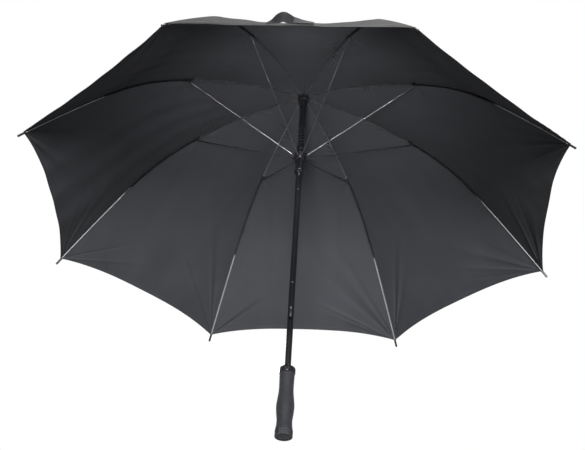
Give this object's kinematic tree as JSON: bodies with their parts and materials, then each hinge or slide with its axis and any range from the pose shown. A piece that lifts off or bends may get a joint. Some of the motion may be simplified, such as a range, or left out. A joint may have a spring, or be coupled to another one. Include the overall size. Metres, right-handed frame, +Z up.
{
  "type": "golf umbrella",
  "caption": "Manual golf umbrella, open: hinged ribs and stretchers on a sliding runner, panelled fabric canopy, round shaft and foam grip.",
  "frame": {"origin": "centre of the grip's flat lower end", "axes": "+Z up along the shaft to the top cap; -Y towards the front panel, where the catches face; ribs stand half a pitch either side of the axes"},
  "size_m": [1.2122, 1.2122, 0.985],
  "materials": {
    "canopy_fabric": "woven polyester, dull inside, slight sheen outside",
    "rib_steel": "zinc-plated steel",
    "rib_fibreglass": "grey fibreglass rod with satin black fittings",
    "shaft_black": "gloss black lacquer",
    "black_plastic": "moulded black plastic",
    "wire_steel": "bright wire",
    "spring_black": "blackened spring wire",
    "grip_foam": "fine matt foam",
    "grip_rubber": "cross-hatched rubber",
    "collar_gloss": "high gloss black",
    "catch_steel": "bright spring steel",
    "strap_fabric": "woven strap",
    "hook_pad": "hook-and-loop pile"
  },
  "bodies": {
    "root": {"shaft": "shaft_black", "crown": "black_plastic", "crown_wire": "wire_steel", "crown_pin": "wire_steel", "canopy_washer": "black_plastic", "top_cap": "black_plastic", "spring_sleeve": "shaft_black", "buffer_spring": "spring_black", "spring_seat": "black_plastic", "stop_pin": "wire_steel", "catch_rivets": "wire_steel", "grip_core": "black_plastic", "grip": "grip_foam", "grip_end_cap": "grip_rubber", "grip_collar": "collar_gloss"},
    "runner": {"runner": "black_plastic", "runner_wire": "wire_steel"},
    "top_catch": {"top_catch": "catch_steel"},
    "bottom_catch": {"bottom_catch": "catch_steel"},
    "rib_inner_1": {"rib_inner_1": "rib_steel", "canopy_section_1": "canopy_fabric"},
    "rib_outer_1": {"rib_outer_1": "rib_fibreglass"},
    "stretcher_1": {"stretcher_1": "rib_steel"},
    "rib_inner_2": {"rib_inner_2": "rib_steel", "canopy_section_2": "canopy_fabric"},
    "rib_outer_2": {"rib_outer_2": "rib_fibreglass"},
    "stretcher_2": {"stretcher_2": "rib_steel"},
    "rib_inner_3": {"rib_inner_3": "rib_steel", "canopy_section_3": "canopy_fabric"},
    "rib_outer_3": {"rib_outer_3": "rib_fibreglass"},
    "stretcher_3": {"stretcher_3": "rib_steel"},
    "rib_inner_4": {"rib_inner_4": "rib_steel", "canopy_section_4": "canopy_fabric"},
    "rib_outer_4": {"rib_outer_4": "rib_fibreglass"},
    "stretcher_4": {"stretcher_4": "rib_steel"},
    "rib_inner_5": {"rib_inner_5": "rib_steel", "canopy_section_5": "canopy_fabric"},
    "rib_outer_5": {"rib_outer_5": "rib_fibreglass"},
    "stretcher_5": {"stretcher_5": "rib_steel"},
    "rib_inner_6": {"rib_inner_6": "rib_steel", "canopy_section_6": "canopy_fabric"},
    "rib_outer_6": {"rib_outer_6": "rib_fibreglass"},
    "stretcher_6": {"stretcher_6": "rib_steel"},
    "rib_inner_7": {"rib_inner_7": "rib_steel", "canopy_section_7": "canopy_fabric"},
    "rib_outer_7": {"rib_outer_7": "rib_fibreglass", "closing_strap": "strap_fabric", "strap_pad": "hook_pad"},
    "stretcher_7": {"stretcher_7": "rib_steel"},
    "rib_inner_8": {"rib_inner_8": "rib_steel", "canopy_section_8": "canopy_fabric"},
    "rib_outer_8": {"rib_outer_8": "rib_fibreglass"},
    "stretcher_8": {"stretcher_8": "rib_steel"}
  },
  "joints": [
    {"name": "runner_slide", "type": "slide", "parent": "root", "child": "runner", "axis": [0, 0, -1], "range_m": [0, 0.40751]},
    {"name": "top_catch_press", "type": "hinge", "parent": "root", "child": "top_catch", "pos_m": [0, -0.00485, 0.638], "axis": [-1, 0, 0], "range_deg": [0, 3.1], "stiffness_Nm_per_rad": 5.8},
    {"name": "bottom_catch_press", "type": "hinge", "parent": "root", "child": "bottom_catch", "pos_m": [0, -0.00485, 0.378], "axis": [1, 0, 0], "range_deg": [0, 2.2], "stiffness_Nm_per_rad": 16},
    {"name": "rib_1_fold", "type": "hinge", "parent": "root", "child": "rib_inner_1", "pos_m": [0.01109, 0.00459, 0.924], "axis": [-0.3827, 0.9239, 0], "range_deg": [0, 76.7], "deforming": ["canopy_section_1"]},
    {"name": "rib_1_flex", "type": "hinge", "parent": "rib_inner_1", "child": "rib_outer_1", "pos_m": [0.27023, 0.11193, 0.87204], "axis": [0.3827, -0.9239, 0], "range_deg": [0, 26.12]},
    {"name": "stretcher_1_pivot", "type": "hinge", "parent": "rib_inner_1", "child": "stretcher_1", "pos_m": [0.27023, 0.11193, 0.87204], "axis": [0.3827, -0.9239, 0], "range_deg": [0, 138.35]},
    {"name": "rib_2_fold", "type": "hinge", "parent": "root", "child": "rib_inner_2", "pos_m": [0.00459, 0.01109, 0.924], "axis": [-0.9239, 0.3827, 0], "range_deg": [0, 76.7], "deforming": ["canopy_section_2"]},
    {"name": "rib_2_flex", "type": "hinge", "parent": "rib_inner_2", "child": "rib_outer_2", "pos_m": [0.11193, 0.27023, 0.87204], "axis": [0.9239, -0.3827, 0], "range_deg": [0, 26.12]},
    {"name": "stretcher_2_pivot", "type": "hinge", "parent": "rib_inner_2", "child": "stretcher_2", "pos_m": [0.11193, 0.27023, 0.87204], "axis": [0.9239, -0.3827, 0], "range_deg": [0, 138.35]},
    {"name": "rib_3_fold", "type": "hinge", "parent": "root", "child": "rib_inner_3", "pos_m": [-0.00459, 0.01109, 0.924], "axis": [-0.9239, -0.3827, 0], "range_deg": [0, 76.7], "deforming": ["canopy_section_3"]},
    {"name": "rib_3_flex", "type": "hinge", "parent": "rib_inner_3", "child": "rib_outer_3", "pos_m": [-0.11193, 0.27023, 0.87204], "axis": [0.9239, 0.3827, 0], "range_deg": [0, 26.12]},
    {"name": "stretcher_3_pivot", "type": "hinge", "parent": "rib_inner_3", "child": "stretcher_3", "pos_m": [-0.11193, 0.27023, 0.87204], "axis": [0.9239, 0.3827, 0], "range_deg": [0, 138.35]},
    {"name": "rib_4_fold", "type": "hinge", "parent": "root", "child": "rib_inner_4", "pos_m": [-0.01109, 0.00459, 0.924], "axis": [-0.3827, -0.9239, 0], "range_deg": [0, 76.7], "deforming": ["canopy_section_4"]},
    {"name": "rib_4_flex", "type": "hinge", "parent": "rib_inner_4", "child": "rib_outer_4", "pos_m": [-0.27023, 0.11193, 0.87204], "axis": [0.3827, 0.9239, 0], "range_deg": [0, 26.12]},
    {"name": "stretcher_4_pivot", "type": "hinge", "parent": "rib_inner_4", "child": "stretcher_4", "pos_m": [-0.27023, 0.11193, 0.87204], "axis": [0.3827, 0.9239, 0], "range_deg": [0, 138.35]},
    {"name": "rib_5_fold", "type": "hinge", "parent": "root", "child": "rib_inner_5", "pos_m": [-0.01109, -0.00459, 0.924], "axis": [0.3827, -0.9239, 0], "range_deg": [0, 76.7], "deforming": ["canopy_section_5"]},
    {"name": "rib_5_flex", "type": "hinge", "parent": "rib_inner_5", "child": "rib_outer_5", "pos_m": [-0.27023, -0.11193, 0.87204], "axis": [-0.3827, 0.9239, 0], "range_deg": [0, 26.12]},
    {"name": "stretcher_5_pivot", "type": "hinge", "parent": "rib_inner_5", "child": "stretcher_5", "pos_m": [-0.27023, -0.11193, 0.87204], "axis": [-0.3827, 0.9239, 0], "range_deg": [0, 138.35]},
    {"name": "rib_6_fold", "type": "hinge", "parent": "root", "child": "rib_inner_6", "pos_m": [-0.00459, -0.01109, 0.924], "axis": [0.9239, -0.3827, 0], "range_deg": [0, 76.7], "deforming": ["canopy_section_6"]},
    {"name": "rib_6_flex", "type": "hinge", "parent": "rib_inner_6", "child": "rib_outer_6", "pos_m": [-0.11193, -0.27023, 0.87204], "axis": [-0.9239, 0.3827, 0], "range_deg": [0, 26.12]},
    {"name": "stretcher_6_pivot", "type": "hinge", "parent": "rib_inner_6", "child": "stretcher_6", "pos_m": [-0.11193, -0.27023, 0.87204], "axis": [-0.9239, 0.3827, 0], "range_deg": [0, 138.35]},
    {"name": "rib_7_fold", "type": "hinge", "parent": "root", "child": "rib_inner_7", "pos_m": [0.00459, -0.01109, 0.924], "axis": [0.9239, 0.3827, 0], "range_deg": [0, 76.7], "deforming": ["canopy_section_7"]},
    {"name": "rib_7_flex", "type": "hinge", "parent": "rib_inner_7", "child": "rib_outer_7", "pos_m": [0.11193, -0.27023, 0.87204], "axis": [-0.9239, -0.3827, 0], "range_deg": [0, 26.12], "deforming": ["closing_strap", "strap_pad"]},
    {"name": "stretcher_7_pivot", "type": "hinge", "parent": "rib_inner_7", "child": "stretcher_7", "pos_m": [0.11193, -0.27023, 0.87204], "axis": [-0.9239, -0.3827, 0], "range_deg": [0, 138.35]},
    {"name": "rib_8_fold", "type": "hinge", "parent": "root", "child": "rib_inner_8", "pos_m": [0.01109, -0.00459, 0.924], "axis": [0.3827, 0.9239, 0], "range_deg": [0, 76.7], "deforming": ["canopy_section_8"]},
    {"name": "rib_8_flex", "type": "hinge", "parent": "rib_inner_8", "child": "rib_outer_8", "pos_m": [0.27023, -0.11193, 0.87204], "axis": [-0.3827, -0.9239, 0], "range_deg": [0, 26.12]},
    {"name": "stretcher_8_pivot", "type": "hinge", "parent": "rib_inner_8", "child": "stretcher_8", "pos_m": [0.27023, -0.11193, 0.87204], "axis": [-0.3827, -0.9239, 0], "range_deg": [0, 138.35]}
  ],
  "couplings": [
    {"joint": "rib_1_fold", "follows": "runner_slide", "rad_per_m": 3.2847},
    {"joint": "rib_1_flex", "follows": "runner_slide", "rad_per_m": 1.1181},
    {"joint": "stretcher_1_pivot", "follows": "runner_slide", "rad_per_m": 5.9251},
    {"joint": "rib_2_fold", "follows": "runner_slide", "rad_per_m": 3.2847},
    {"joint": "rib_2_flex", "follows": "runner_slide", "rad_per_m": 1.1181},
    {"joint": "stretcher_2_pivot", "follows": "runner_slide", "rad_per_m": 5.9251},
    {"joint": "rib_3_fold", "follows": "runner_slide", "rad_per_m": 3.2847},
    {"joint": "rib_3_flex", "follows": "runner_slide", "rad_per_m": 1.1181},
    {"joint": "stretcher_3_pivot", "follows": "runner_slide", "rad_per_m": 5.9251},
    {"joint": "rib_4_fold", "follows": "runner_slide", "rad_per_m": 3.2847},
    {"joint": "rib_4_flex", "follows": "runner_slide", "rad_per_m": 1.1181},
    {"joint": "stretcher_4_pivot", "follows": "runner_slide", "rad_per_m": 5.9251},
    {"joint": "rib_5_fold", "follows": "runner_slide", "rad_per_m": 3.2847},
    {"joint": "rib_5_flex", "follows": "runner_slide", "rad_per_m": 1.1181},
    {"joint": "stretcher_5_pivot", "follows": "runner_slide", "rad_per_m": 5.9251},
    {"joint": "rib_6_fold", "follows": "runner_slide", "rad_per_m": 3.2847},
    {"joint": "rib_6_flex", "follows": "runner_slide", "rad_per_m": 1.1181},
    {"joint": "stretcher_6_pivot", "follows": "runner_slide", "rad_per_m": 5.9251},
    {"joint": "rib_7_fold", "follows": "runner_slide", "rad_per_m": 3.2847},
    {"joint": "rib_7_flex", "follows": "runner_slide", "rad_per_m": 1.1181},
    {"joint": "stretcher_7_pivot", "follows": "runner_slide", "rad_per_m": 5.9251},
    {"joint": "rib_8_fold", "follows": "runner_slide", "rad_per_m": 3.2847},
    {"joint": "rib_8_flex", "follows": "runner_slide", "rad_per_m": 1.1181},
    {"joint": "stretcher_8_pivot", "follows": "runner_slide", "rad_per_m": 5.9251}
  ]
}
